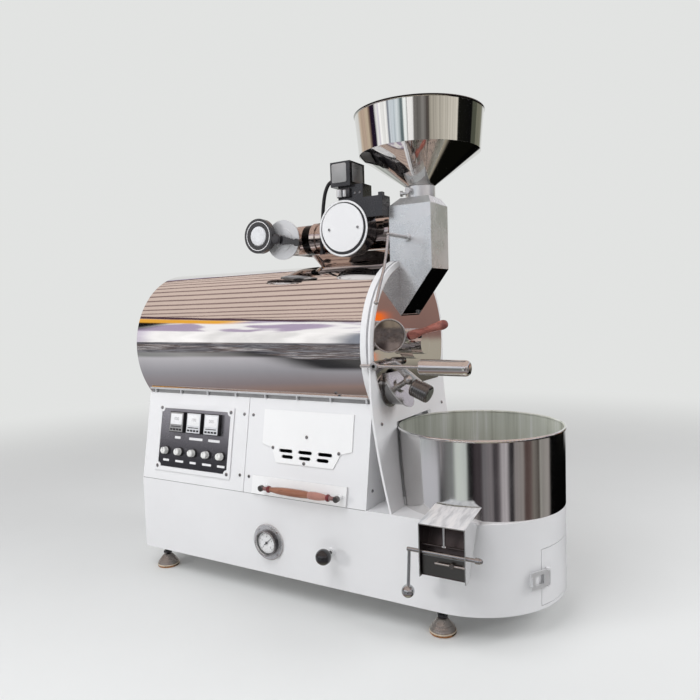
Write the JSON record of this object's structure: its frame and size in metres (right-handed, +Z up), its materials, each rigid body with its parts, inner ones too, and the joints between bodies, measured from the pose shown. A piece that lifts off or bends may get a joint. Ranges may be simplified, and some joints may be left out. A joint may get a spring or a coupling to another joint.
{
  "type": "coffee roaster",
  "caption": "Shop coffee roaster: a horizontal drum in a steel shell over a gas burner, with a feed hopper, discharge door, control panel and stirred cooling bin.",
  "frame": {"origin": "centre of the bounding box in plan, on the floor under the feet", "axes": "+X along the drum to its front, where the cooling bin is; -Y towards the side with the control panel; +Z up"},
  "size_m": [1.109, 0.536, 1.1085],
  "materials": {
    "white_paint": "white powder coat, satin",
    "mirror_steel": "mirror-polished stainless sheet",
    "satin_steel": "stainless, lightly brushed",
    "dark_steel": "darkened steel",
    "panel_metal": "dark brushed plate, graded from light to dark",
    "black_plastic": "black phenolic and housing plastic",
    "white_plastic": "white moulded knob",
    "black_paint": "black enamel, smooth",
    "motor_paint": "grey motor enamel",
    "cast_iron": "raw cast iron",
    "cast_aluminium": "cast aluminium",
    "foot_rubber": "black moulded foot",
    "cable_rubber": "black cable sheath",
    "turned_wood": "turned hardwood, varnished red-brown",
    "zinc_screw": "zinc-plated"
  },
  "bodies": {
    "chassis": {"base_shell": "white_paint", "levelling_feet": "foot_rubber", "gauge_case": "mirror_steel", "cooling_blower": "motor_paint", "cabinet_frame": "white_paint", "control_side_panel": "white_paint", "burner_side_panel": "white_paint", "far_side_panel": "white_paint", "panel_frame": "white_paint", "control_plate": "panel_metal", "controllers": "black_plastic", "vent_plate": "white_paint", "burner": "cast_iron", "drive_motor": "motor_paint", "drive_chain": "dark_steel", "drum_shell": "mirror_steel", "rear_cover": "white_paint", "front_plate": "white_paint", "front_disc": "mirror_steel", "feed_chute": "satin_steel", "hopper": "mirror_steel", "hopper_collar": "mirror_steel", "exhaust_pipe": "mirror_steel", "damper_plate": "satin_steel", "fan_scroll": "black_paint", "fan_motor_box": "black_paint", "fan_cable": "cable_rubber", "sight_glass": "satin_steel", "discharge_spout": "dark_steel", "bin_wall": "mirror_steel", "bin_floor": "satin_steel", "stirrer_motor": "motor_paint", "bean_spout": "satin_steel", "fasteners": "zinc_screw"},
    "drum": {"roast_drum": "dark_steel", "drum_shaft": "dark_steel"},
    "motor_output": {"motor_sprocket": "dark_steel"},
    "cooling_rotor": {"cooling_impeller": "cast_aluminium"},
    "fan_rotor": {"fan_impeller": "cast_aluminium"},
    "stirring": {"stirrer": "satin_steel"},
    "bean_gate": {"feed_gate": "satin_steel"},
    "damper": {"damper_lever": "black_paint"},
    "shutter": {"fan_shutter": "white_paint"},
    "outlet_door": {"discharge_lid": "satin_steel", "discharge_lever": "satin_steel"},
    "sampler": {"trier": "satin_steel", "trier_handle": "turned_wood"},
    "spout_door": {"spout_gate": "satin_steel"},
    "ash_door": {"chaff_door": "white_paint"},
    "latch": {"chaff_latch": "satin_steel"},
    "switch_1": {"knob_1": "white_plastic"},
    "switch_2": {"knob_2": "white_plastic"},
    "switch_3": {"knob_3": "white_plastic"},
    "switch_4": {"knob_4": "white_plastic"},
    "switch_5": {"knob_5": "white_plastic"},
    "needle": {"gauge_needle": "black_plastic"},
    "air_pull": {"air_rod": "black_paint", "ball_knob": "black_plastic"},
    "tray": {"burner_tray": "white_paint", "tray_handle": "turned_wood"}
  },
  "joints": [
    {"name": "drum_spin", "type": "hinge", "parent": "chassis", "child": "drum", "pos_m": [-0.1195, 0, 0.589], "axis": [1, 0, 0], "continuous": true},
    {"name": "motor_spin", "type": "hinge", "parent": "chassis", "child": "motor_output", "pos_m": [-0.5195, 0, 0.339], "axis": [1, 0, 0], "continuous": true},
    {"name": "cooling_fan_spin", "type": "hinge", "parent": "chassis", "child": "cooling_rotor", "pos_m": [0.1205, 0.144, 0.1515], "axis": [0, 1, 0], "continuous": true},
    {"name": "fan_spin", "type": "hinge", "parent": "chassis", "child": "fan_rotor", "pos_m": [0.0795, -0.06, 0.86], "axis": [0, 1, 0], "continuous": true},
    {"name": "stirrer_spin", "type": "hinge", "parent": "chassis", "child": "stirring", "pos_m": [0.3705, 0, 0.253], "axis": [0, 0, 1], "continuous": true},
    {"name": "feed_gate_turn", "type": "hinge", "parent": "chassis", "child": "bean_gate", "pos_m": [0.2255, 0, 0.83], "axis": [0, 1, 0], "range_deg": [0, 70]},
    {"name": "damper_turn", "type": "hinge", "parent": "chassis", "child": "damper", "pos_m": [-0.1085, -0.06, 0.85], "axis": [0, 1, 0], "range_deg": [0, 90]},
    {"name": "shutter_turn", "type": "hinge", "parent": "chassis", "child": "shutter", "pos_m": [0.0795, -0.08, 0.86], "axis": [0, 1, 0], "range_deg": [0, 60]},
    {"name": "discharge_turn", "type": "hinge", "parent": "chassis", "child": "outlet_door", "pos_m": [0.2165, -0.112, 0.555], "axis": [0, -1, 0], "range_deg": [0, 38]},
    {"name": "trier_slide", "type": "slide", "parent": "chassis", "child": "sampler", "axis": [0.9583, 0, 0.2857], "range_m": [0, 0.13]},
    {"name": "spout_gate_turn", "type": "hinge", "parent": "chassis", "child": "spout_door", "pos_m": [0.3835, -0.255, 0.203], "axis": [-1, 0, 0], "range_deg": [0, 60]},
    {"name": "chaff_door_turn", "type": "hinge", "parent": "chassis", "child": "ash_door", "pos_m": [0.5289, 0.103, 0.123], "axis": [0, 0, 1], "range_deg": [0, 100]},
    {"name": "chaff_latch_turn", "type": "hinge", "parent": "ash_door", "child": "latch", "pos_m": [0.53778, -0.08338, 0.124], "axis": [0, 0, 1], "range_deg": [0, 110]},
    {"name": "knob_1_turn", "type": "hinge", "parent": "chassis", "child": "switch_1", "pos_m": [-0.414, -0.19085, 0.32172], "axis": [0, -0.9832, 0.1824], "range_deg": [0, 90]},
    {"name": "knob_2_turn", "type": "hinge", "parent": "chassis", "child": "switch_2", "pos_m": [-0.367, -0.19085, 0.32172], "axis": [0, -0.9832, 0.1824], "range_deg": [0, 90]},
    {"name": "knob_3_turn", "type": "hinge", "parent": "chassis", "child": "switch_3", "pos_m": [-0.32, -0.19085, 0.32172], "axis": [0, -0.9832, 0.1824], "range_deg": [0, 90]},
    {"name": "knob_4_turn", "type": "hinge", "parent": "chassis", "child": "switch_4", "pos_m": [-0.273, -0.19085, 0.32172], "axis": [0, -0.9832, 0.1824], "range_deg": [0, 90]},
    {"name": "knob_5_turn", "type": "hinge", "parent": "chassis", "child": "switch_5", "pos_m": [-0.226, -0.19085, 0.32172], "axis": [0, -0.9832, 0.1824], "range_deg": [0, 270]},
    {"name": "gauge_needle_turn", "type": "hinge", "parent": "chassis", "child": "needle", "pos_m": [-0.0795, -0.21, 0.135], "axis": [0, 1, 0], "range_deg": [-183, 87]},
    {"name": "air_rod_slide", "type": "slide", "parent": "chassis", "child": "air_pull", "axis": [0, -1, 0], "range_m": [0, 0.04]},
    {"name": "burner_tray_slide", "type": "slide", "parent": "chassis", "child": "tray", "axis": [0, -1, 0], "range_m": [0, 0.14]}
  ],
  "couplings": [
    {"joint": "motor_spin", "follows": "drum_spin", "ratio": 2.5333}
  ]
}
